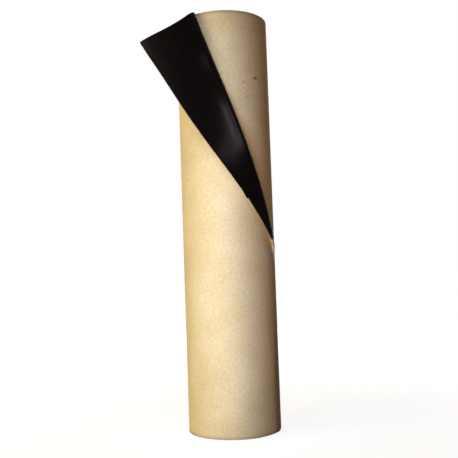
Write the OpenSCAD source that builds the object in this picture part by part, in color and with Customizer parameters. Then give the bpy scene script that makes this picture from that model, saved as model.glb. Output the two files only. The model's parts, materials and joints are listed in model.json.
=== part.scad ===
// Roll of kraft-faced bituminous roofing felt, standing on its end.
// One sheet is wound without a core, and the top corner of its free end is turned back.
// Millimetres. The roll's axis is Z, its lower end is at z = 0 and its front faces -Y.

/* [Roll] */
// Width of the sheet, which is the height of the standing roll
roll_length = 1000; // [700:10:1200]
// Diameter over the outermost turn
roll_diameter = 227; // [160:1:300]
// Diameter of the open centre that the winding mandrel leaves
bore_diameter = 60; // [40:1:90]

/* [Sheet] */
// Thickness of the felt
sheet_thickness = 1.8; // [1.2:0.1:3]
// Place of the free end, in degrees to the right of the front
free_end_angle = 68; // [45:1:90]
// Gap between neighbouring turns where it shows on the two ends
turn_gap = 0.4; // [0.2:0.05:0.7]
// Depth to which the gap between turns shows
turn_gap_depth = 1.5; // [0.5:0.1:3]
// Place of the inner end in the bore, in degrees to the right of the front
inner_end_angle = 200; // [0:5:355]
// Radius of the small hollow where the second turn steps over the inner end
inner_end_hollow = 20; // [12:1:25]

/* [Turned corner] */
// Length of the free edge that is turned back, from the top down
turned_edge = 592; // [350:1:650]
// Length of the top edge that is turned back
turned_top = 211; // [120:1:240]
// Inner bend radius at the low end of the crease
crease_radius_low = 3.2; // [1.5:0.1:6]
// Inner bend radius at the top end of the crease
crease_radius_top = 15; // [10:0.5:30]
// Angle that the crease turns the sheet through at its low end
fold_low = 188; // [170:1:190]
// Angle that the crease turns the sheet through halfway up
fold_mid = 178; // [160:1:190]
// Angle that the crease turns the sheet through at the top
fold_top = 143; // [90:1:175]
// Share of the crease, from its low end, over which the flap stops following the roll
curl_release = 0.805; // [0.5:0.005:1]
// Curl of the flap's upper part, as a share of the curl that it had on the roll
spring_back = 0.8; // [0.5:0.05:1.1]
// Scale of the corner's droop, which grows with the cube of the distance from the bend
corner_droop = 30; // [0:1:45]

/* [Hidden] */
$fn = 120;
eps = 1;

roll_r = roll_diameter / 2;
bore_r = bore_diameter / 2;

// The spiral is drawn with two centres: each half turn is an arc, and the back one is shifted
// so that the radius grows by one sheet thickness a turn. OpenSCAD measures from +X.
seam = free_end_angle - 90;
back_shift = sheet_thickness / 2;
turns = floor((roll_r - bore_r) / sheet_thickness - 0.7);

// The crease is straight in the flat sheet, so it is a helix on the roll.
crease_rise = atan2(turned_top, turned_edge);
crease_length = norm([turned_top, turned_edge]);
corner_share = pow(cos(crease_rise), 2);
crease_low_z = roll_length - turned_edge;

// The flap's mesh: columns along the crease, closer at its ends, rows away from it, and a root
// inside the outer turn.
columns_below_corner = 26;
columns_above_corner = 14;
column_spread = 1.5;
flap_rows = 18;
row_spread = 1.4;
flap_end_width = 1.5;
root_depth = 2;
root_inset = 0.2;
full_thickness_lean = 45;

shares = [
    for (i = [0 : columns_below_corner])
        let (low = flap_end_width / tan(crease_rise) / crease_length)
        low + (corner_share - low) * pow(i / columns_below_corner, column_spread),
    for (i = [1 : columns_above_corner])
        let (high = 1 - flap_end_width * tan(crease_rise) / crease_length)
        high - (high - corner_share) * pow(1 - i / columns_above_corner, column_spread)
];

// Angle round the roll and height of the crease at a share of its length from the low end
function crease_angle(s) = seam - s * turned_top / roll_r * 180 / PI;
function crease_z(s) = crease_low_z + s * turned_edge;

// Width of the flap, square to the crease: up to the free edge, then up to the sheet's top edge
function flap_width(s) =
    (s < corner_share ? s * tan(crease_rise) : (1 - s) / tan(crease_rise)) * crease_length;

// The bend opens like a cone from the low end of the crease
function crease_radius(s) = crease_radius_low + (crease_radius_top - crease_radius_low) * s;
function fold(s) =
    fold_low * (1 - s) * (1 - 2 * s) + fold_mid * 4 * s * (1 - s) + fold_top * s * (2 * s - 1);

// Curl beyond the bend, in degrees a millimetre: it lies round the roll at the low end of the
// crease, and further up it springs back towards the curl of its own turn
function curl(s) =
    let (released = (1 - cos(180 * min(1, s / curl_release))) / 2,
         following = pow(cos(crease_rise), 2))
    (following - (following + spring_back) * released) / roll_r * 180 / PI;

// Direction of the sheet at a distance e from the crease: 0 lies along the roll
function lean(s, e) =
    let (arc = crease_radius(s) * fold(s) * PI / 180)
    e < arc ? e / crease_radius(s) * 180 / PI : fold(s) + curl(s) * (e - arc);

// Place of the sheet's kraft face at that distance: [along the roll, out from it]
function flap_section(s, e) =
    let (r = crease_radius(s), arc = r * fold(s) * PI / 180, bent = e < arc ? lean(s, e) : fold(s),
         beyond = max(0, e - arc), half = curl(s) * beyond / 2,
         chord = beyond * (abs(half) < 0.001 ? 1 : sin(half) / (half * PI / 180)))
    r * [sin(bent), 1 - cos(bent)] + chord * [cos(fold(s) + half), sin(fold(s) + half)];

// Sinking of the flap under its own weight, towards the corner
function droop(s, e) =
    let (beyond = max(0, e - crease_radius(s) * fold(s) * PI / 180))
    corner_droop * pow(beyond / turned_top, 3);

// Point of the flap at share s, distance e and depth d below the kraft face
function flap_point(s, e, d) =
    let (angle = crease_angle(s), out = [cos(angle), sin(angle), 0],
         place = flap_section(s, e), tilt = lean(s, e))
    out * (roll_r + place[1] - d * cos(tilt)) + across(s) * (place[0] + d * sin(tilt))
    + [0, 0, crease_z(s) - droop(s, e)];

// Direction in the sheet that is square to the crease, away from the roll's front turn
function across(s) =
    let (angle = crease_angle(s))
    [-sin(angle) * cos(crease_rise), cos(angle) * cos(crease_rise), sin(crease_rise)];

// The flap leaves the outer turn inside its two faces, so it stands clear of the turn below,
// and has its full thickness once the bend has lifted it
function thinning(s, e) = root_inset * max(0, 1 - lean(s, e) / full_thickness_lean);
function face_depth(s, e, black) = black ? sheet_thickness - thinning(s, e) : thinning(s, e);

// Rows of one face, from the root inside the outer turn to the edge of the sheet
function flap_row(s, black) = concat(
    [flap_point(s, 0, face_depth(s, 0, black)) - across(s) * root_depth],
    [for (j = [0 : flap_rows])
        let (e = flap_width(s) * pow(j / flap_rows, row_spread))
        flap_point(s, e, face_depth(s, e, black))]);

// A band of triangles that closes a ring of points in each column, with both ends capped
module swept_rings(rings) {
    n = len(rings[0]);
    last = len(rings) - 1;
    end = last * n;
    sides = [
        for (i = [0 : last - 1]) for (j = [0 : n - 1])
            let (a = i * n + j, b = i * n + (j + 1) % n)
            each [[a, b + n, b], [a, a + n, b + n]]
    ];
    caps = [
        for (j = [0 : n / 2 - 2])
            let (k = n - 1 - j)
            each [[j, k - 1, k], [j, j + 1, k - 1],
                  [end + j, end + k - 1, end + j + 1], [end + j, end + k, end + k - 1]]
    ];
    polyhedron([for (ring = rings) each ring], concat(sides, caps), convexity = 6);
}

// Half a turn of the wound solid: the front arc is on the axis, the back arc is shifted
module half_turns(radius, height, front) {
    rotate([0, 0, seam + (front ? 180 : 0)])
        translate([front ? 0 : -back_shift, 0, 0])
            rotate_extrude(angle = 180) square([radius - (front ? 0 : back_shift), height]);
}

// The wound solid up to one radius in front and one at the back, where the spiral starts a sheet
// thickness lower, which is the step at the free end
module wound(front_radius, back_radius) {
    half_turns(front_radius, roll_length, true);
    half_turns(back_radius, roll_length, false);
}

// The part of the outer turn that has been lifted off: everything above the crease
module lifted_corner() {
    steps = 24;
    over = 0.005;
    rings = [
        for (i = [0 : steps])
            let (s = -over + (1 + 2 * over) * i / steps, angle = crease_angle(s),
                 out = [cos(angle), sin(angle), 0], reach = 2 * sheet_thickness,
                 inner = out * (roll_r - reach), outer = out * (roll_r + reach),
                 foot = [0, 0, crease_z(s)], top = [0, 0, crease_z(1 + 2 * over)])
            [inner + foot, outer + foot, outer + top, inner + top]
    ];
    swept_rings(rings);
}

// The free end's corner, turned back along the crease
module turned_flap() {
    rings = [
        for (s = shares)
            let (kraft = flap_row(s, false), black = flap_row(s, true))
            concat(kraft, [for (j = [len(black) - 1 : -1 : 0]) black[j]])
    ];
    swept_rings(rings);
}

// Gaps between the turns, one long spiral on an end
module turn_gaps(z) {
    for (front = [true, false])
        rotate([0, 0, seam + (front ? 180 : 0)])
            translate([front ? 0 : -back_shift, 0, z])
                rotate_extrude(angle = 180)
                    for (k = [1 : turns]) {
                        joint_r = roll_r - k * sheet_thickness - (front ? 0 : back_shift);
                        translate([joint_r - turn_gap / 2, 0]) square([turn_gap, turn_gap_depth + eps]);
                    }
}

// Hollow beside the sheet's inner end, where the next turn steps over it
module inner_end() {
    rotate([0, 0, inner_end_angle - 90])
        translate([bore_r + sheet_thickness - inner_end_hollow, 0, -eps])
            rotate_extrude(angle = 90) square([inner_end_hollow, roll_length + 2 * eps]);
}

module felt_roll() {
    color("#d9bd8c") {
        difference() {
            union() {
                wound(roll_r - sheet_thickness, roll_r - root_inset);
                difference() {
                    wound(roll_r, roll_r);
                    lifted_corner();
                }
            }
            translate([0, 0, -eps]) cylinder(r = bore_r, h = roll_length + 2 * eps);
            inner_end();
            turn_gaps(-eps);
            turn_gaps(roll_length - turn_gap_depth);
        }
        turned_flap();
    }
}

felt_roll();
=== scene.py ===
import json
import math

import bpy
import numpy as np
from mathutils import Matrix, Vector


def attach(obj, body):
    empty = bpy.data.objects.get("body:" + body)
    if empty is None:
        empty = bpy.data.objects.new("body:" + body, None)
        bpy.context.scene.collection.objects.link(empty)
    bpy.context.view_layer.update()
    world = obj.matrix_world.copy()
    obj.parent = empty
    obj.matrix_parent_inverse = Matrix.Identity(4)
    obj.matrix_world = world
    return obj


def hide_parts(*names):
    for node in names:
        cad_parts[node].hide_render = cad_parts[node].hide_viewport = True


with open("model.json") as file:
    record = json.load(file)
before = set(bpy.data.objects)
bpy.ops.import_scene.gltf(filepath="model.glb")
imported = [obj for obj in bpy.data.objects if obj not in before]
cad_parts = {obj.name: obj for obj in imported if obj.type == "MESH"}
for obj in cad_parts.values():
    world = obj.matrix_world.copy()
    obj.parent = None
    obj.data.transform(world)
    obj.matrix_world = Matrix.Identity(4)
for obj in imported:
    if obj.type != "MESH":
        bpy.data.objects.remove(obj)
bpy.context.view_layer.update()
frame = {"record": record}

bl_info = {
    "name": "Roll of Roofing Felt",
    "version": (1, 0, 0),
    "blender": (4, 5, 0),
    "location": "3D View > Sidebar > Felt Roll",
    "description": "A standing roll of kraft-faced bituminous felt, with one corner turned back",
    "category": "Add Mesh",
}

ROLL_NODE = "felt_roll"
BORE = next(mount["dims"] for mount in frame["record"]["mounts"] if mount["name"] == "bore")
UP = Vector((0.0, 0.0, 1.0))

# Order of the finishes on the roll's mesh
KRAFT, BITUMEN, CUT_EDGE = range(3)

# Marks on the sheet: length from the free end, height, half width and half height in metres, strength
STAINS_AND_DARK_STRIP = (
    (0.762, 0.843, 0.0085, 0.0060, 0.70),
    (0.7975, 0.830, 0.0060, 0.0055, 0.25),
    (0.788, 0.795, 0.0060, 0.0060, 0.22),
    # Darker strip on the turn below, beside the free end, in the stain colour, widest towards the bottom
    (0.690, 0.080, 0.040, 0.420, 0.75),
)
# Pale grey patches: the first two are a painted highlight on the buckle beside the low end of the crease,
# the last two are rubbed paper at the bottom
SCUFFS_AND_HIGHLIGHT = (
    (0.026, 0.426, 0.032, 0.017, 0.45),
    (0.020, 0.396, 0.026, 0.034, 0.32),
    (0.696, 0.042, 0.010, 0.013, 0.95),
    (0.022, 0.015, 0.006, 0.006, 0.8),
)
# Darker strips in the grime colour: one at the free end, widest at the bottom, and one on the turn below
# beside it
DARKER_BESIDE_FREE_END = (
    (0.0, 0.0, 0.030, 0.460, 0.85),
    (0.690, 0.120, 0.045, 0.420, 1.0),
)
TORN = ((0.0015, 0.459, 0.0060, 0.009, 0.9),)

# How far the outlines of the marks are frayed, in metres
FRAY = 0.004

# Wander of the sheet's edges: share, radians in a metre and phase of each wave, and the shift along
# the sheet, in metres, between the top edge and the bottom edge
EDGE_WAVES = ((0.6, 9.1, 0.7), (0.4, 23.7, 2.1))
BOTTOM_SHIFT = 5.0

# Buckle beside the low end of the crease: its middle and its reach, along the sheet and up it
PUCKER_ALONG, PUCKER_UP = 0.030, 0.014
PUCKER_REACH_ALONG, PUCKER_REACH_UP = 0.024, 0.013

# Length over which the loose free end comes down to the turn below
LOOSE_REACH = 0.045

# Wound turns: steps of the sweep, rounding of the cut edges, and pace and seed of the edges' wander
SEGMENTS_A_TURN = 72
EDGE_ROUNDING = 0.0003
SWINGS_A_METRE = 2.6
SWING_SEED = 3.0

# Edges of the roll's mesh that are sharper than this are shaded as edges
SHARP_ANGLE = math.radians(40.0)


def linear(code):
    """Linear RGBA of an sRGB hex colour."""
    parts = [int(code[i:i + 2], 16) / 255 for i in (1, 3, 5)]
    return tuple(c / 12.92 if c <= 0.04045 else ((c + 0.055) / 1.055) ** 2.4 for c in parts) + (1.0,)


def add(tree, kind, values=None, links=None, **settings):
    """Adds a node, with its settings, its input values and the sockets that feed it."""
    node = tree.nodes.new(kind)
    for name, value in settings.items():
        setattr(node, name, value)
    for socket, value in (values or {}).items():
        node.inputs[socket].default_value = value
    for socket, source in (links or {}).items():
        tree.links.new(source, node.inputs[socket])
    return node


def length(name, description, default):
    """A setting in metres."""
    return bpy.props.FloatProperty(
        name=name, description=description, default=default, unit="LENGTH", precision=4)


def angle(name, description, degrees):
    """A setting that is given in degrees and kept in radians."""
    return bpy.props.FloatProperty(
        name=name, description=description, default=math.radians(degrees), subtype="ANGLE")


def power(name, description, watts):
    """A setting in watts."""
    return bpy.props.FloatProperty(
        name=name, description=description, default=watts, subtype="POWER", min=0.0)


def number(name, description, default, **limits):
    """A setting without a unit."""
    return bpy.props.FloatProperty(name=name, description=description, default=default, **limits)


def colour(name, description, code):
    """A colour setting that is given as an sRGB hex value."""
    return bpy.props.FloatVectorProperty(
        name=name, description=description, default=linear(code), size=4, subtype="COLOR", min=0.0, max=1.0)


class FeltRollSizes(bpy.types.PropertyGroup):
    """Sizes of the wound sheet and of its turned corner, which are the solid's where it has them"""
    roll_length: length(
        "Roll Length", "Width of the sheet, which is the height of the roll", BORE["length_mm"] / 1000)
    roll_radius: length("Roll Radius", "Radius over the outermost turn at the free end", 0.1135)
    bore_radius: length("Bore Radius", "Radius of the open centre", BORE["r_mm"] / 1000)
    pitch: length("Pitch", "Growth of the radius in one turn", 0.0018)
    thickness: length("Thickness", "Thickness of the sheet, a little under the pitch", 0.0016)
    free_end: angle("Free End", "Place of the free end, to the right of the front", 68.0)
    turned_edge: length("Turned Edge", "Length of the free edge that is turned back", 0.592)
    turned_top: length("Turned Top", "Length of the top edge that is turned back", 0.211)
    crease_low: length("Crease Radius Low", "Bend radius near the low end of the crease", 0.0032)
    crease_top: length("Crease Radius Top", "Bend radius at the top of the crease", 0.015)
    fold_low: angle("Fold Low", "Angle of the fold at the low end of the crease", 188.0)
    fold_mid: angle("Fold Middle", "Angle of the fold halfway up", 178.0)
    fold_top: angle("Fold Top", "Angle of the fold at the top", 143.0)
    curl_release: number(
        "Curl Release", "Share of the crease over which the flap stops following the roll", 0.805,
        min=0.5, max=1.0)
    spring_back: number(
        "Spring Back", "Curl of the flap's upper part, as a share of its curl on the roll", 0.8,
        min=0.5, max=1.1)
    corner_droop: length("Corner Droop", "Scale of the corner's sinking under its own weight", 0.030)
    looseness: length("Looseness", "How far the free end stands off the turn below", 0.0009)
    pucker: length("Pucker", "Height of the buckle beside the low end of the crease", 0.0012)
    tear_share: number(
        "Tear", "Place of the small tear in the free edge, as a share of the crease", 0.2675)
    tear_depth: length("Tear Depth", "Step in the free edge at the tear", 0.0038)
    unevenness: length("Unevenness", "How far the edges of the turns stand up or lie back", 0.0007)
    free_turns: number(
        "Free Turns", "Turns at the outside that are modelled with the corner", 1.4, min=1.35)


class FeltRollFinish(bpy.types.PropertyGroup):
    """Colours of the sheet's two faces and of its cut edge"""
    kraft: colour("Kraft", "Facing of kraft paper", "#E9C99B")
    kraft_dark: colour("Kraft Fibre", "Darker fibres and clouds in the kraft paper", "#D1A976")
    stain: colour("Stain", "Bitumen that has come through the paper", "#5A4632")
    # Also the colour of the darker strips beside the free end
    grime: colour("Grime", "Dirt along the edges of the paper", "#8A7150")
    # Pale grey of the rubbed paper, also used for the painted highlight on the buckle beside the crease
    scuff_and_highlight: colour("Scuff", "Rubbed grey patches of the paper", "#C9C4C6")
    bitumen: colour("Bitumen", "Bitumen coat on the inside of the sheet", "#070302")
    bitumen_dust: colour("Bitumen Dust", "Paler clouds in the bitumen coat", "#0F0705")
    felt: colour("Felt", "Saturated felt in the cut edge", "#3A2D22")
    torn: colour("Torn Paper", "Pale fibres where the paper is torn or rubbed", "#F3E9DA")


class FeltRollStage(bpy.types.PropertyGroup):
    """Camera, lamps and floor"""
    camera_distance: length("Camera Distance", "Distance of the camera in front of the roll's axis", 1.686)
    camera_height: length("Camera Height", "Height of the camera above the floor", 0.4024)
    camera_pitch: angle("Camera Pitch", "Upward tilt of the camera", 2.93)
    camera_yaw: angle("Camera Yaw", "Turn of the camera to the right", 0.045)
    camera_roll: angle("Camera Roll", "Turn of the camera about its view", -2.03)
    camera_view: angle("Camera View", "Angle of view of the square picture", 37.24)
    window_power: power("Window Power", "Large lamp far to the left", 61.0)
    window_tint: colour("Window Tint", "Colour of the window lamp", "#F8FFE4")
    front_power: power("Front Power", "Slim cool lamp close in front", 1.52)
    front_tint: colour("Front Tint", "Colour of the front lamp", "#AED5FF")
    fill_power: power("Fill Power", "Slim warm lamp in front, a little to the right", 1.07)
    fill_tint: colour("Fill Tint", "Colour of the fill lamp", "#FFDFCE")
    overhead_power: power("Overhead Power", "Wide lamp above", 14.0)
    overhead_tint: colour("Overhead Tint", "Colour of the overhead lamp", "#FFD0A8")
    satin_power: power("Satin Power", "Small lamp to the right that shows only as gloss", 9.5)
    satin_tint: colour("Satin Tint", "Colour of the satin lamp", "#F8EAF4")
    back_power: power("Back Power", "Large lamp behind", 40.0)
    back_tint: colour("Back Tint", "Colour of the back lamp", "#FFF3E0")
    ambient: colour("Ambient", "Colour of the light from all round", "#F4E8F4")
    ambient_strength: number("Ambient Strength", "Level of the light from all round", 0.02, min=0.0)
    floor: colour("Floor", "Colour of the floor", "#808080")
    floor_white: number(
        "Floor White", "White that the floor shows by itself close to the roll", 0.85, min=0.0)


class Crease:
    """The line along which the corner is turned back: straight in the flat sheet, a helix on the roll."""

    # Shares of the crease over which the edge beside the tear runs straight again, and over which
    # the bend runs out at the low end
    TEAR_REACH = 0.035
    TIP_REACH = 0.06

    # Share of the step at the tear that stands out above it, while the rest lies back below it
    TEAR_OUT = 0.65

    def __init__(self, sizes):
        self.sizes = sizes
        self.rise = math.atan2(sizes.turned_top, sizes.turned_edge)
        self.length = math.hypot(sizes.turned_top, sizes.turned_edge)
        self.corner = math.cos(self.rise) ** 2
        self.low_z = sizes.roll_length - sizes.turned_edge

    def turn(self, share):
        """Angle back from the free end, at a share of the crease from its low end."""
        return share * self.sizes.turned_top / self.sizes.roll_radius

    def height(self, share):
        """Height of the crease at that share."""
        return self.low_z + share * self.sizes.turned_edge

    def width(self, share):
        """Width of the flap square to the crease, up to the free edge or the sheet's top edge."""
        if share < self.corner:
            slope = share * math.tan(self.rise)
        else:
            slope = (1 - share) / math.tan(self.rise)
        return slope * self.length + self.tear(share)

    def tear(self, share):
        """Step in the free edge, which stands out above the tear and lies back below it."""
        past = (share - self.sizes.tear_share) / self.TEAR_REACH
        if abs(past) >= 1:
            return 0.0
        step = self.TEAR_OUT * (1 - past) if past > 0 else (self.TEAR_OUT - 1) * (1 + past)
        return self.sizes.tear_depth * step

    def bend_radius(self, share):
        """Bend radius, which opens like a cone and runs out to nothing at the free end."""
        tip = min(1.0, share / self.TIP_REACH)
        return self.sizes.crease_low * tip + (self.sizes.crease_top - self.sizes.crease_low) * share

    def fold(self, share):
        """Angle of the fold, by the parabola through its three settings."""
        sizes = self.sizes
        low = sizes.fold_low * (1 - share) * (1 - 2 * share)
        mid = sizes.fold_mid * 4 * share * (1 - share)
        top = sizes.fold_top * share * (2 * share - 1)
        return low + mid + top

    def curl(self, share):
        """Curvature beyond the bend: round the roll at the low end, the sheet's own curl further up."""
        released = (1 - math.cos(math.pi * min(1.0, share / self.sizes.curl_release))) / 2
        following = math.cos(self.rise) ** 2
        return (following - (following + self.sizes.spring_back) * released) / self.sizes.roll_radius

    def place(self, share, e):
        """Point of the kraft face at a distance e from the crease, its normal and its flat place."""
        sizes = self.sizes
        out, around = directions(sizes.free_end - self.turn(share))
        across = around * math.cos(self.rise) + UP * math.sin(self.rise)
        radius, fold, curl = self.bend_radius(share), self.fold(share), self.curl(share)
        arc = radius * fold
        bent = min(e, arc) / radius if radius else 0.0
        beyond = max(0.0, e - arc)
        half = curl * beyond / 2
        chord = beyond * (math.sin(half) / half if abs(half) > 1e-6 else 1.0)
        along = radius * math.sin(bent) + chord * math.cos(fold + half)
        off = radius * (1 - math.cos(bent)) + chord * math.sin(fold + half)
        lean = bent + 2 * half
        drop = sizes.corner_droop * (beyond / sizes.turned_top) ** 3
        base = outer_radius(sizes, self.turn(share), self.height(share))
        point = out * (base + off) + across * along + UP * (self.height(share) - drop)
        normal = out * math.cos(lean) - across * math.sin(lean)
        flat = (share * sizes.turned_top - e * math.cos(self.rise),
                self.height(share) + e * math.sin(self.rise))
        return point, normal, flat


def directions(theta):
    """Outward and sideways directions on the roll, at an angle to the right of the front."""
    return Vector((math.sin(theta), -math.cos(theta), 0)), Vector((math.cos(theta), math.sin(theta), 0))


def turn_radius(sizes, turn):
    """Radius of the kraft face at an angle back from the free end."""
    return sizes.roll_radius - sizes.pitch * turn / math.tau


def outer_radius(sizes, turn, z):
    """Radius of the free turn, which stands off at its end and buckles beside the crease's low end."""
    run = turn * sizes.roll_radius
    aside = (run - PUCKER_ALONG) / PUCKER_REACH_ALONG
    above = (z - sizes.roll_length + sizes.turned_edge - PUCKER_UP) / PUCKER_REACH_UP
    loose = sizes.looseness * math.exp(-run / LOOSE_REACH)
    return turn_radius(sizes, turn) + loose + sizes.pucker * math.exp(-aside * aside - above * above)


def edge_wave(sizes, run):
    """Height by which the sheet's edge wanders, at a length from its free end."""
    waves = [share * math.sin(run * rate + phase) for share, rate, phase in EDGE_WAVES]
    return sizes.unevenness * sum(waves)


class SheetMesh:
    """Collects both faces and the cut edges of a sheet that is given point by point on its kraft face."""

    # Lines that part a cut edge into strips, and its bulge, as shares of the thickness
    EDGE_LINES = (0.3, 0.7)
    EDGE_BULGE = 0.12

    def __init__(self, thickness):
        self.thickness = thickness
        self.bulge = thickness * self.EDGE_BULGE
        self.points, self.layers, self.flats = [], [], []
        self.faces, self.finishes = [], []

    def vertex(self, point, layer, flat):
        """A vertex with its depth in the sheet and its place in the flat sheet."""
        self.points.append(point)
        self.layers.append(layer)
        self.flats.append(flat)
        return len(self.points) - 1

    def pair(self, point, normal, flat):
        """A vertex on the kraft face and the one behind it on the bitumen face."""
        return (self.vertex(point, 0.0, flat), self.vertex(point - normal * self.thickness, 1.0, flat))

    def face(self, corners, finish):
        """A face, without the corners that fall together."""
        kept = [c for i, c in enumerate(corners) if c != corners[i - 1]]
        if len(kept) > 2:
            self.faces.append(kept)
            self.finishes.append(finish)

    def cell(self, a, b, c, d):
        """Both faces of a patch between four pairs, counter-clockwise on the kraft face."""
        self.face([p[0] for p in (a, b, c, d)], KRAFT)
        self.face([p[1] for p in (d, c, b, a)], BITUMEN)

    def rim(self, pairs, outward):
        """The cut edge along a row of pairs: a little rounded, in three strips from kraft to bitumen."""
        rows = []
        for (front, back), direction in zip(pairs, outward):
            a, b = self.points[front], self.points[back]
            middle = [self.vertex(a.lerp(b, depth) + direction * self.bulge, depth, self.flats[front])
                      for depth in self.EDGE_LINES]
            rows.append((front, *middle, back))
        for low, high in zip(rows, rows[1:]):
            for i in range(len(self.EDGE_LINES) + 1):
                self.face([low[i], low[i + 1], high[i + 1], high[i]], CUT_EDGE)

    def mesh(self, name):
        """The collected faces as a mesh, with what the finishes read from it."""
        mesh = bpy.data.meshes.new(name)
        mesh.from_pydata([tuple(p) for p in self.points], [], self.faces)
        mesh.polygons.foreach_set("material_index", self.finishes)
        mesh.polygons.foreach_set("use_smooth", [True] * len(self.faces))
        mesh.attributes.new("layer", "FLOAT", "POINT").data.foreach_set("value", self.layers)
        corner_vertex = np.empty(len(mesh.loops), dtype=np.int32)
        mesh.loops.foreach_get("vertex_index", corner_vertex)
        uv = np.array(self.flats, dtype=np.float32)[corner_vertex]
        mesh.uv_layers.new(name="sheet").data.foreach_set("uv", uv.ravel())
        mesh.validate()
        return mesh


def free_turn_mesh(sizes):
    """The outermost turns with the free end, and its top corner turned back along the crease."""
    crease = Crease(sizes)
    sheet = SheetMesh(sizes.thickness)
    rows, flap_rows, row_spread = 60, 44, 1.4

    # Columns along the crease, closer at its ends and on both sides of the tear
    below, above, column_spread = 84, 36, 1.5
    tear_gap = 0.0004
    shares = [crease.corner * (i / below) ** column_spread for i in range(below)]
    shares += [1 - (1 - crease.corner) * (1 - i / above) ** column_spread for i in range(above + 1)]
    shares = sorted(shares + [sizes.tear_share - tear_gap, sizes.tear_share + tear_gap])

    # Columns of the turns: those under the crease end at it, the rest reach the sheet's top edge
    last_turn = sizes.free_turns * math.tau
    step = math.radians(2.5)
    count = math.ceil((last_turn - crease.turn(1)) / step)
    turns = [crease.turn(s) for s in shares]
    turns += [crease.turn(1) + (last_turn - crease.turn(1)) * i / count for i in range(1, count + 1)]
    columns = []
    for i, turn in enumerate(turns):
        out, _ = directions(sizes.free_end - turn)
        run = turn * sizes.roll_radius
        free = i >= len(shares)
        low = sheet.bulge + abs(edge_wave(sizes, run + BOTTOM_SHIFT))
        high = sizes.roll_length + edge_wave(sizes, run) if free else crease.height(shares[i])
        column = []
        for k in range(rows + 1):
            z = low + (high - low) * k / rows
            column.append(sheet.pair(out * outer_radius(sizes, turn, z) + UP * z, out, (run, z)))
        columns.append(column)
    for right, left in zip(columns, columns[1:]):
        for k in range(rows):
            sheet.cell(left[k], right[k], right[k + 1], left[k + 1])

    # Rows of the flap start on the crease and end on the sheet's free and top edges
    flap = []
    for i, share in enumerate(shares):
        width = crease.width(share)
        row = [columns[i][rows]]
        for j in range(1, flap_rows + 1):
            e = width * (j / flap_rows) ** row_spread
            row.append(sheet.pair(*crease.place(share, e)) if width > 1e-6 else row[0])
        flap.append(row)
    for low, high in zip(flap, flap[1:]):
        for j in range(flap_rows):
            sheet.cell(high[j], low[j], low[j + 1], high[j + 1])

    # Cut edges: bottom, top, the two ends and the edges of the flap
    sheet.rim([c[0] for c in columns], [-UP] * len(columns))
    top = columns[len(shares) - 1:]
    sheet.rim([c[rows] for c in reversed(top)], [UP] * len(top))
    side = directions(sizes.free_end)[1]
    sheet.rim(list(reversed(columns[0])), [side] * (rows + 1))
    sheet.rim(columns[-1], [-directions(sizes.free_end - turns[-1])[1]] * (rows + 1))
    edge, reach = [], []
    for row in reversed(flap):
        last, inner = row[flap_rows], row[flap_rows - 1]
        edge.append(last)
        reach.append((sheet.points[last[0]] - sheet.points[inner[0]]).normalized())
    sheet.rim(edge, reach)
    return sheet.mesh("free_turn")


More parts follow.
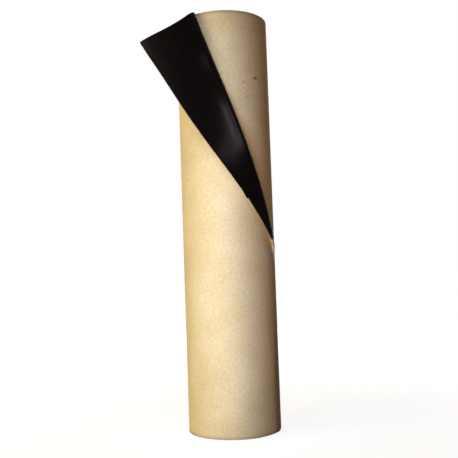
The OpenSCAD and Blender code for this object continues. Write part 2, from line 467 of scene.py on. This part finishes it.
def wound_turns_tree(finishes):
    """Geometry nodes that sweep the sheet's section along a spiral from the bore to the free turns."""
    tree = bpy.data.node_groups.new("Wound Turns", "GeometryNodeTree")
    for name, kind in (("Section Width", "Float"), ("Sheet Width", "Float"), ("Start Radius", "Float"),
                       ("End Radius", "Float"), ("Turns", "Float"), ("End Angle", "Float"),
                       ("Segments", "Int"), ("Edge Rounding", "Float"), ("Unevenness", "Float"),
                       ("Swings", "Float"), ("Seed", "Float")):
        tree.interface.new_socket(name=name, in_out="INPUT", socket_type="NodeSocket" + kind)
    tree.interface.new_socket(name="Geometry", in_out="OUTPUT", socket_type="NodeSocketGeometry")
    given = add(tree, "NodeGroupInput").outputs
    position = add(tree, "GeometryNodeInputPosition").outputs[0]

    spiral = add(tree, "GeometryNodeCurveSpiral", {"Height": 0.0}, {
        "Resolution": given["Segments"], "Rotations": given["Turns"],
        "Start Radius": given["Start Radius"], "End Radius": given["End Radius"]})
    upright = add(tree, "GeometryNodeSetCurveNormal", None, {"Curve": spiral.outputs["Curve"]}, mode="Z_UP")
    run = add(tree, "GeometryNodeCaptureAttribute", None, {"Geometry": upright.outputs["Curve"]})
    run.capture_items.new("FLOAT", "Run")
    tree.links.new(add(tree, "GeometryNodeSplineParameter").outputs["Length"], run.inputs["Run"])

    section = add(tree, "GeometryNodeCurvePrimitiveQuadrilateral", None, {
        "Width": given["Section Width"], "Height": given["Sheet Width"]})
    rounded = add(tree, "GeometryNodeFilletCurve", {"Count": 1}, {
        "Curve": section.outputs["Curve"], "Radius": given["Edge Rounding"]}, mode="POLY")
    layer = add(tree, "GeometryNodeCaptureAttribute", None, {"Geometry": rounded.outputs["Curve"]})
    layer.capture_items.new("FLOAT", "Layer")
    across = add(tree, "ShaderNodeSeparateXYZ", None, {0: position})
    share = add(tree, "ShaderNodeMath", None, {0: across.outputs["X"], 1: given["Section Width"]},
                operation="DIVIDE")
    depth = add(tree, "ShaderNodeMath", {1: 0.5}, {0: share.outputs[0]}, operation="ADD")
    tree.links.new(depth.outputs[0], layer.inputs["Layer"])

    swept = add(tree, "GeometryNodeCurveToMesh", {"Fill Caps": True}, {
        "Curve": run.outputs["Geometry"], "Profile Curve": layer.outputs["Geometry"]})

    # The edges of the turns wander along the sheet, up or down at the top and only up at the floor
    place = add(tree, "ShaderNodeSeparateXYZ", None, {0: position})
    phase = add(tree, "ShaderNodeMath", None, {
        0: run.outputs["Run"], 1: given["Swings"], 2: given["Seed"]}, operation="MULTIPLY_ADD")
    noise = add(tree, "ShaderNodeTexNoise", {"Scale": 1.0, "Detail": 2.0}, {"W": phase.outputs[0]},
                noise_dimensions="1D")
    swing = add(tree, "ShaderNodeMapRange", {
        "From Min": 0.25, "From Max": 0.75, "To Min": -1.0, "To Max": 1.0}, {"Value": noise.outputs[0]})
    at_top = add(tree, "ShaderNodeMath", {1: 0.0}, {0: place.outputs["Z"]}, operation="GREATER_THAN")
    lifted = add(tree, "ShaderNodeMath", None, {0: swing.outputs[0]}, operation="ABSOLUTE")
    wander = add(tree, "ShaderNodeMix", None, {
        "Factor": at_top.outputs[0], "A": lifted.outputs[0], "B": swing.outputs[0]})
    half = add(tree, "ShaderNodeMath", {1: 0.5}, {0: given["Sheet Width"]}, operation="MULTIPLY")
    rise = add(tree, "ShaderNodeMath", None, {
        0: wander.outputs[0], 1: given["Unevenness"], 2: half.outputs[0]}, operation="MULTIPLY_ADD")
    shift = add(tree, "ShaderNodeCombineXYZ", None, {"Z": rise.outputs[0]})
    raised = add(tree, "GeometryNodeSetPosition", None, {
        "Geometry": swept.outputs["Mesh"], "Offset": shift.outputs[0]})

    # Place in the flat sheet and depth in its section, for the finishes
    height = add(tree, "ShaderNodeSeparateXYZ", None, {0: position})
    flat = add(tree, "ShaderNodeCombineXYZ", None, {"X": run.outputs["Run"], "Y": height.outputs["Z"]})
    mapped = add(tree, "GeometryNodeStoreNamedAttribute", {"Name": "sheet"}, {
        "Geometry": raised.outputs["Geometry"], "Value": flat.outputs[0]},
        data_type="FLOAT2", domain="CORNER")
    layered = add(tree, "GeometryNodeStoreNamedAttribute", {"Name": "layer"}, {
        "Geometry": mapped.outputs["Geometry"], "Value": layer.outputs["Layer"]},
        data_type="FLOAT", domain="POINT")
    turn = add(tree, "ShaderNodeCombineXYZ", None, {"Z": given["End Angle"]})
    turned = add(tree, "GeometryNodeTransform", None, {
        "Geometry": layered.outputs["Geometry"], "Rotation": turn.outputs[0]})
    last = add(tree, "GeometryNodeRealizeInstances", None, {"Geometry": turned.outputs["Geometry"]})

    # Faces that look up or down are cut edges; the others are kraft outwards and bitumen inwards
    normal = add(tree, "GeometryNodeInputNormal")
    facing = add(tree, "ShaderNodeSeparateXYZ", None, {0: normal.outputs[0]})
    steep = add(tree, "ShaderNodeMath", None, {0: facing.outputs["Z"]}, operation="ABSOLUTE")
    outward = add(tree, "ShaderNodeVectorMath", None, {0: normal.outputs[0], 1: position},
                  operation="DOT_PRODUCT")
    inside = add(tree, "FunctionNodeCompare", {"B": 0.0}, {"A": outward.outputs["Value"]},
                 operation="LESS_THAN")
    cut = add(tree, "FunctionNodeCompare", {"B": 0.3}, {"A": steep.outputs[0]}, operation="GREATER_THAN")
    geometry = last.outputs["Geometry"]
    for finish, chosen in ((KRAFT, None), (BITUMEN, inside), (CUT_EDGE, cut)):
        links = {"Geometry": geometry}
        if chosen:
            links["Selection"] = chosen.outputs["Result"]
        dressed = add(tree, "GeometryNodeSetMaterial", {"Material": finishes[finish]}, links)
        geometry = dressed.outputs["Geometry"]
    add(tree, "NodeGroupOutput", None, {"Geometry": geometry})
    return tree


def wound_turns_mesh(sizes, finishes):
    """The turns from the bore up to the free turns, as a plain mesh."""
    start = sizes.bore_radius + sizes.thickness / 2
    end = turn_radius(sizes, sizes.free_turns * math.tau) - sizes.thickness / 2
    turns = (end - start) / sizes.pitch
    end_angle = sizes.free_end - math.pi / 2 - sizes.free_turns * math.tau - turns * math.tau
    values = {"Section Width": sizes.thickness, "Sheet Width": sizes.roll_length, "Start Radius": start,
              "End Radius": end, "Turns": turns, "End Angle": end_angle, "Segments": SEGMENTS_A_TURN,
              "Edge Rounding": EDGE_ROUNDING, "Unevenness": sizes.unevenness,
              "Swings": SWINGS_A_METRE, "Seed": SWING_SEED}
    tree = wound_turns_tree(finishes)
    holder = bpy.data.objects.new("wound_turns", bpy.data.meshes.new("wound_turns"))
    bpy.context.scene.collection.objects.link(holder)
    modifier = holder.modifiers.new("Wound Turns", "NODES")
    modifier.node_group = tree
    for item in tree.interface.items_tree:
        if item.in_out == "INPUT":
            modifier[item.identifier] = values[item.name]
    evaluated = holder.evaluated_get(bpy.context.evaluated_depsgraph_get())
    mesh = bpy.data.meshes.new_from_object(evaluated)
    holder.modifiers.remove(modifier)
    bpy.data.objects.remove(holder)
    return mesh


def new_material(name):
    """A material with its node tree and its shader."""
    material = bpy.data.materials.new(name)
    material.use_nodes = True
    return material, material.node_tree, material.node_tree.nodes["Principled BSDF"]


def mark(tree, sheet, run, height, wide, high, strength):
    """Share of a soft-edged mark on the sheet, from its place in the flat sheet and its half sizes."""
    placed = add(tree, "ShaderNodeMapping", {
        "Location": (-run / wide, -height / high, 0.0),
        "Scale": (1 / wide, 1 / high, 1.0)}, {"Vector": sheet})
    reach = add(tree, "ShaderNodeVectorMath", None, {0: placed.outputs[0]}, operation="LENGTH")
    return add(tree, "ShaderNodeMapRange", {"From Min": 1.0, "From Max": 0.25, "To Max": strength},
               {"Value": reach.outputs["Value"]}, interpolation_type="SMOOTHSTEP").outputs[0]


def marked(tree, sheet, base, tint, marks):
    """The base colour with marks of another colour over it."""
    for place in marks:
        share = mark(tree, sheet, *place)
        mixed = add(tree, "ShaderNodeMix", {"B": tint}, {"Factor": share, "A": base}, data_type="RGBA")
        base = mixed.outputs["Result"]
    return base


def frayed_sheet(tree):
    """Place in the flat sheet, as it is and shaken a little so that the edges of marks are uneven."""
    sheet = add(tree, "ShaderNodeUVMap", uv_map="sheet").outputs["UV"]
    shake = add(tree, "ShaderNodeTexNoise", {"Scale": 1 / FRAY, "Detail": 2.0}, {"Vector": sheet})
    centred = add(tree, "ShaderNodeVectorMath", {1: (0.5, 0.5, 0.5)}, {0: shake.outputs["Color"]},
                  operation="SUBTRACT")
    frayed = add(tree, "ShaderNodeVectorMath", {1: (FRAY, FRAY, 0.0)}, {0: centred.outputs[0], 2: sheet},
                 operation="MULTIPLY_ADD")
    return sheet, frayed.outputs[0]


def kraft_paper(finish):
    """Machine-glazed kraft paper: warm straw brown, clouded by its fibres, with slivers and marks."""
    material, tree, shader = new_material("kraft_paper")
    sheet, frayed = frayed_sheet(tree)

    # Clouds of pulp, mottling of about 6 mm, and fibres along the web, coarser than real ones to show
    cloud = add(tree, "ShaderNodeTexNoise", {"Scale": 1 / 0.090, "Detail": 2.0}, {"Vector": sheet})
    mottle = add(tree, "ShaderNodeTexNoise", {"Scale": 1 / 0.0065, "Detail": 3.0, "Roughness": 0.6},
                 {"Vector": sheet})
    web = add(tree, "ShaderNodeMapping", {"Scale": (1 / 0.009, 1 / 0.0018, 1.0)}, {"Vector": sheet})
    fibre = add(tree, "ShaderNodeTexNoise", {"Scale": 1.0, "Detail": 3.0, "Roughness": 0.6},
                {"Vector": web.outputs[0]})
    grain = add(tree, "ShaderNodeMath", {1: 0.9}, {0: mottle.outputs[0], 2: fibre.outputs[0]},
                operation="MULTIPLY_ADD")
    pulp = add(tree, "ShaderNodeMath", {1: 0.7}, {0: cloud.outputs[0], 2: grain.outputs[0]},
               operation="MULTIPLY_ADD")
    shade = add(tree, "ShaderNodeMapRange", {"From Min": 0.95, "From Max": 1.65},
                {"Value": pulp.outputs[0]})
    paper = add(tree, "ShaderNodeMix", {"A": finish.kraft, "B": finish.kraft_dark},
                {"Factor": shade.outputs[0]}, data_type="RGBA").outputs["Result"]

    # Slivers of bark, one in every few cells of 16 mm
    cells = add(tree, "ShaderNodeMapping", {"Scale": (1 / 0.016, 1 / 0.009, 1.0)}, {"Vector": frayed})
    sliver = add(tree, "ShaderNodeTexVoronoi", {"Scale": 1.0}, {"Vector": cells.outputs[0]})
    near = add(tree, "ShaderNodeMapRange", {"From Min": 0.10, "From Max": 0.03, "To Max": 0.5},
               {"Value": sliver.outputs["Distance"]}, interpolation_type="SMOOTHSTEP")
    rare = add(tree, "ShaderNodeMath", {1: 0.72}, {0: sliver.outputs["Color"]}, operation="GREATER_THAN")
    chosen = add(tree, "ShaderNodeMath", None, {0: near.outputs[0], 1: rare.outputs[0]},
                 operation="MULTIPLY")
    paper = add(tree, "ShaderNodeMix", {"B": finish.stain}, {"Factor": chosen.outputs[0], "A": paper},
                data_type="RGBA").outputs["Result"]

    # Grime along the top and bottom edges, which lie 0.5 m from the middle of the sheet
    height = add(tree, "ShaderNodeSeparateXYZ", None, {0: frayed}).outputs["Y"]
    middle = add(tree, "ShaderNodeMath", {1: 0.5}, {0: height}, operation="SUBTRACT")
    rim = add(tree, "ShaderNodeMath", None, {0: middle.outputs[0]}, operation="ABSOLUTE")
    grime = add(tree, "ShaderNodeMapRange", {"From Min": 0.490, "From Max": 0.5005, "To Max": 0.55},
                {"Value": rim.outputs[0]}, interpolation_type="SMOOTHSTEP")
    paper = add(tree, "ShaderNodeMix", {"B": finish.grime}, {"Factor": grime.outputs[0], "A": paper},
                data_type="RGBA").outputs["Result"]

    # Darker strips at the free end and on the turn below beside it
    paper = marked(tree, frayed, paper, finish.grime, DARKER_BESIDE_FREE_END)
    paper = marked(tree, frayed, paper, finish.stain, STAINS_AND_DARK_STRIP)
    # Rubbed patches, and the painted highlight on the buckle beside the low end of the crease
    paper = marked(tree, frayed, paper, finish.scuff_and_highlight, SCUFFS_AND_HIGHLIGHT)
    paper = marked(tree, frayed, paper, finish.torn, TORN)
    tree.links.new(paper, shader.inputs["Base Color"])
    rough = add(tree, "ShaderNodeMapRange", {"To Min": 0.52, "To Max": 0.74}, {"Value": mottle.outputs[0]})
    tree.links.new(rough.outputs[0], shader.inputs["Roughness"])
    shader.inputs["Specular IOR Level"].default_value = 0.05
    bump = add(tree, "ShaderNodeBump", {"Strength": 0.35, "Distance": 0.0003}, {"Height": grain.outputs[0]})
    tree.links.new(bump.outputs[0], shader.inputs["Normal"])
    return material


def oxidised_bitumen(finish):
    """Oxidised bitumen coat: near black with a brown cast, satin, with a fine rolled grain."""
    material, tree, shader = new_material("oxidised_bitumen")
    sheet, frayed = frayed_sheet(tree)
    rolled = add(tree, "ShaderNodeMapping", {"Scale": (1 / 0.006, 1 / 0.0018, 1.0)}, {"Vector": sheet})
    grain = add(tree, "ShaderNodeTexNoise", {"Scale": 1.0, "Detail": 3.0}, {"Vector": rolled.outputs[0]})
    cloud = add(tree, "ShaderNodeTexNoise", {"Scale": 1 / 0.050, "Detail": 3.0}, {"Vector": sheet})
    coat = add(tree, "ShaderNodeMix", {"A": finish.bitumen, "B": finish.bitumen_dust},
               {"Factor": cloud.outputs[0]}, data_type="RGBA").outputs["Result"]
    tree.links.new(marked(tree, frayed, coat, finish.torn, TORN), shader.inputs["Base Color"])
    both = add(tree, "ShaderNodeMath", {1: 0.5}, {0: grain.outputs[0], 2: cloud.outputs[0]},
               operation="MULTIPLY_ADD")
    rough = add(tree, "ShaderNodeMapRange", {
        "From Min": 0.4, "From Max": 1.1, "To Min": 0.15, "To Max": 0.24}, {"Value": both.outputs[0]})
    tree.links.new(rough.outputs[0], shader.inputs["Roughness"])
    shader.inputs["Specular IOR Level"].default_value = 0.10
    shader.inputs["IOR"].default_value = 1.2
    bump = add(tree, "ShaderNodeBump", {"Strength": 0.2, "Distance": 0.0002}, {"Height": grain.outputs[0]})
    tree.links.new(bump.outputs[0], shader.inputs["Normal"])
    return material


def felt_cut_edge(finish):
    """Knife-cut edge of the sheet: a line of kraft paper, the fibrous felt, then the bitumen coat."""
    material, tree, shader = new_material("felt_cut_edge")
    sheet, frayed = frayed_sheet(tree)
    depth = add(tree, "ShaderNodeAttribute", attribute_name="layer").outputs["Fac"]
    fibre = add(tree, "ShaderNodeTexNoise", {"Scale": 1 / 0.0022, "Detail": 3.0}, {"Vector": sheet})
    shaken = add(tree, "ShaderNodeMath", {1: 0.22}, {0: fibre.outputs[0], 2: depth},
                 operation="MULTIPLY_ADD")
    layers = add(tree, "ShaderNodeValToRGB", None, {"Fac": shaken.outputs[0]})
    ramp = layers.color_ramp
    ramp.elements[0].position, ramp.elements[0].color = 0.30, finish.kraft_dark
    ramp.elements[1].position, ramp.elements[1].color = 0.90, finish.bitumen
    ramp.elements.new(0.42).color = finish.felt

    # Some lengths of the edge are dusty, which tells the turns apart on the ends
    length_wise = add(tree, "ShaderNodeMapping", {"Scale": (1 / 0.45, 0.0, 0.0)}, {"Vector": sheet})
    wear = add(tree, "ShaderNodeTexNoise", {"Scale": 1.0, "Detail": 3.0},
               {"Vector": length_wise.outputs[0]})
    dusty = add(tree, "ShaderNodeMapRange", {"From Min": 0.45, "From Max": 0.62, "To Max": 0.75},
                {"Value": wear.outputs[0]})
    dusted = add(tree, "ShaderNodeMix", {"B": finish.grime}, {
        "Factor": dusty.outputs[0], "A": layers.outputs["Color"]}, data_type="RGBA")
    edge = marked(tree, frayed, dusted.outputs["Result"], finish.torn, TORN)
    tree.links.new(edge, shader.inputs["Base Color"])
    shader.inputs["Roughness"].default_value = 0.85
    shader.inputs["Specular IOR Level"].default_value = 0.2
    bump = add(tree, "ShaderNodeBump", {"Strength": 0.5, "Distance": 0.0004}, {"Height": fibre.outputs[0]})
    tree.links.new(bump.outputs[0], shader.inputs["Normal"])
    return material


class FELT_OT_wind_roll(bpy.types.Operator):
    """Winds the sheet and turns its free corner back, in place of the plain solid"""
    bl_idname = "felt_roll.wind"
    bl_label = "Wind Roll"

    def execute(self, context):
        sizes, finish = context.scene.felt_roll_sizes, context.scene.felt_roll_finish
        finishes = [kraft_paper(finish), oxidised_bitumen(finish), felt_cut_edge(finish)]
        parts = []
        for mesh in (free_turn_mesh(sizes), wound_turns_mesh(sizes, finishes)):
            parts.append(bpy.data.objects.new("wound_sheet", mesh))
            context.scene.collection.objects.link(parts[-1])
        for material in finishes:
            parts[0].data.materials.append(material)
        with context.temp_override(active_object=parts[0], selected_editable_objects=parts):
            bpy.ops.object.join()
        roll = parts[0]
        roll.data.polygons.foreach_set("use_smooth", [True] * len(roll.data.polygons))
        roll.data.set_sharp_from_angle(angle=SHARP_ANGLE)
        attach(roll, "root")
        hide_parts(ROLL_NODE)
        return {"FINISHED"}


def shown_share(tree):
    """1 for the rays that show the white surroundings: of the camera, of gloss and of clear materials."""
    path = add(tree, "ShaderNodeLightPath").outputs
    shown = add(tree, "ShaderNodeMath", None, {0: path["Is Camera Ray"], 1: path["Is Glossy Ray"]},
                operation="MAXIMUM")
    return add(tree, "ShaderNodeMath", None, {0: shown.outputs[0], 1: path["Is Transmission Ray"]},
               operation="MAXIMUM").outputs[0]


class FELT_OT_set_stage(bpy.types.Operator):
    """Sets the floor, the lamps and the camera"""
    bl_idname = "felt_roll.stage"
    bl_label = "Set Stage"

    def execute(self, context):
        context.scene.view_settings.view_transform = "Standard"
        stage = context.scene.felt_roll_stage
        self.floor(context.scene, stage)
        self.world(context.scene, stage)
        self.lamps(context.scene, stage)
        self.camera(context.scene, stage)
        return {"FINISHED"}

    def floor(self, scene, stage):
        """A pale floor that runs out into white, and keeps the roll's shadow near it."""
        half = 12.0
        mesh = bpy.data.meshes.new("floor")
        corners = [(-half, -half, 0), (half, -half, 0), (half, half, 0), (-half, half, 0)]
        mesh.from_pydata(corners, [], [(0, 1, 2, 3)])
        floor = bpy.data.objects.new("floor", mesh)
        scene.collection.objects.link(floor)
        material, tree, shader = new_material("pale_floor")
        shader.inputs["Base Color"].default_value = stage.floor
        shader.inputs["Roughness"].default_value = 0.9
        shader.inputs["Specular IOR Level"].default_value = 0.0
        shader.inputs["Emission Color"].default_value = (1.0, 1.0, 1.0, 1.0)
        place = add(tree, "ShaderNodeTexCoord").outputs["Object"]
        away = add(tree, "ShaderNodeVectorMath", None, {0: place}, operation="LENGTH")
        white = add(tree, "ShaderNodeMapRange", {
            "From Min": 0.2, "From Max": 1.6, "To Min": stage.floor_white, "To Max": 1.0},
            {"Value": away.outputs["Value"]}, interpolation_type="SMOOTHSTEP")
        glow = add(tree, "ShaderNodeMath", None, {0: shown_share(tree), 1: white.outputs[0]},
                   operation="MULTIPLY")
        tree.links.new(glow.outputs[0], shader.inputs["Emission Strength"])
        mesh.materials.append(material)

    def world(self, scene, stage):
        """A faint light from all round, and white surroundings where they are seen."""
        scene.world = bpy.data.worlds.new("studio")
        scene.world.use_nodes = True
        tree = scene.world.node_tree
        tree.nodes.clear()
        ambient = add(tree, "ShaderNodeBackground", {
            "Color": stage.ambient, "Strength": stage.ambient_strength})
        white = add(tree, "ShaderNodeBackground", {"Color": (1.0, 1.0, 1.0, 1.0), "Strength": 1.0})
        mixed = add(tree, "ShaderNodeMixShader", None, {
            0: shown_share(tree), 1: ambient.outputs[0], 2: white.outputs[0]})
        add(tree, "ShaderNodeOutputWorld", None, {"Surface": mixed.outputs[0]})

    def lamps(self, scene, stage):
        """Soft lamps round the roll, by their angle from the front, distance from the axis and height."""
        roll_middle = 0.5
        for name, degrees, distance, height, wide, high, tilt, watts, tint in (
                ("window", -68.0, 2.6, 0.90, 1.6, 1.6, 0.0, stage.window_power, stage.window_tint),
                ("front", -8.0, 0.29, 0.49, 0.08, 0.98, 0.0, stage.front_power, stage.front_tint),
                ("fill", 5.0, 0.60, 0.50, 0.08, 0.98, 0.0, stage.fill_power, stage.fill_tint),
                ("overhead", 0.0, 0.0, 2.6, 2.4, 2.4, 0.0, stage.overhead_power, stage.overhead_tint),
                ("satin", 33.0, 1.58, 1.07, 0.60, 0.05, -37.0, stage.satin_power, stage.satin_tint),
                ("back", 178.0, 2.4, 0.9, 1.2, 1.6, 0.0, stage.back_power, stage.back_tint)):
            out, _ = directions(math.radians(degrees))
            place = out * distance + UP * height
            aim = UP * min(height, roll_middle)
            data = bpy.data.lights.new(name, "AREA")
            data.shape, data.size, data.size_y = "RECTANGLE", wide, high
            data.energy, data.color = watts, tint[:3]
            lamp = bpy.data.objects.new(name, data)
            facing = (aim - place).to_track_quat("-Z", "Y").to_matrix().to_4x4()
            tilted = Matrix.Rotation(math.radians(tilt), 4, "Z")
            lamp.matrix_world = Matrix.Translation(place) @ facing @ tilted
            lamp.visible_camera = False
            lamp.visible_diffuse = name != "satin"
            scene.collection.objects.link(lamp)

    def camera(self, scene, stage):
        """The camera in front of the roll, by its place, its three turns and its angle of view."""
        pitch, yaw, roll = stage.camera_pitch, stage.camera_yaw, stage.camera_roll
        ahead = Vector((math.sin(yaw) * math.cos(pitch), math.cos(yaw) * math.cos(pitch), math.sin(pitch)))
        right = Vector((math.cos(yaw), -math.sin(yaw), 0))
        above = right.cross(ahead)
        across = right * math.cos(roll) + above * math.sin(roll)
        upward = above * math.cos(roll) - right * math.sin(roll)
        lens = bpy.data.cameras.new("camera")
        lens.angle = stage.camera_view
        lens.clip_end = 100.0
        camera = bpy.data.objects.new("camera", lens)
        turned = Matrix((across, upward, -ahead)).transposed().to_4x4()
        camera.matrix_world = Matrix.Translation((0, -stage.camera_distance, stage.camera_height)) @ turned
        scene.collection.objects.link(camera)
        scene.camera = camera


class FELT_PT_roll(bpy.types.Panel):
    """Lists the steps that make the roll and its stage"""
    bl_label = "Felt Roll"
    bl_idname = "FELT_PT_roll"
    bl_space_type = "VIEW_3D"
    bl_region_type = "UI"
    bl_category = "Felt Roll"

    def draw(self, context):
        for group in GROUPS:
            settings = getattr(context.scene, group)
            for name in settings.bl_rna.properties.keys():
                if name not in ("rna_type", "name"):
                    self.layout.prop(settings, name)
        for operator in (FELT_OT_wind_roll, FELT_OT_set_stage):
            self.layout.operator(operator.bl_idname)


GROUPS = {
    "felt_roll_sizes": FeltRollSizes,
    "felt_roll_finish": FeltRollFinish,
    "felt_roll_stage": FeltRollStage,
}
CLASSES = (*GROUPS.values(), FELT_OT_wind_roll, FELT_OT_set_stage, FELT_PT_roll)


def register():
    for cls in CLASSES:
        bpy.utils.register_class(cls)
    for name, group in GROUPS.items():
        setattr(bpy.types.Scene, name, bpy.props.PointerProperty(type=group))


def unregister():
    for name in GROUPS:
        delattr(bpy.types.Scene, name)
    for cls in reversed(CLASSES):
        bpy.utils.unregister_class(cls)


def main():
    register()
    bpy.ops.felt_roll.wind()
    bpy.ops.felt_roll.stage()


if __name__ == "__main__":
    main()
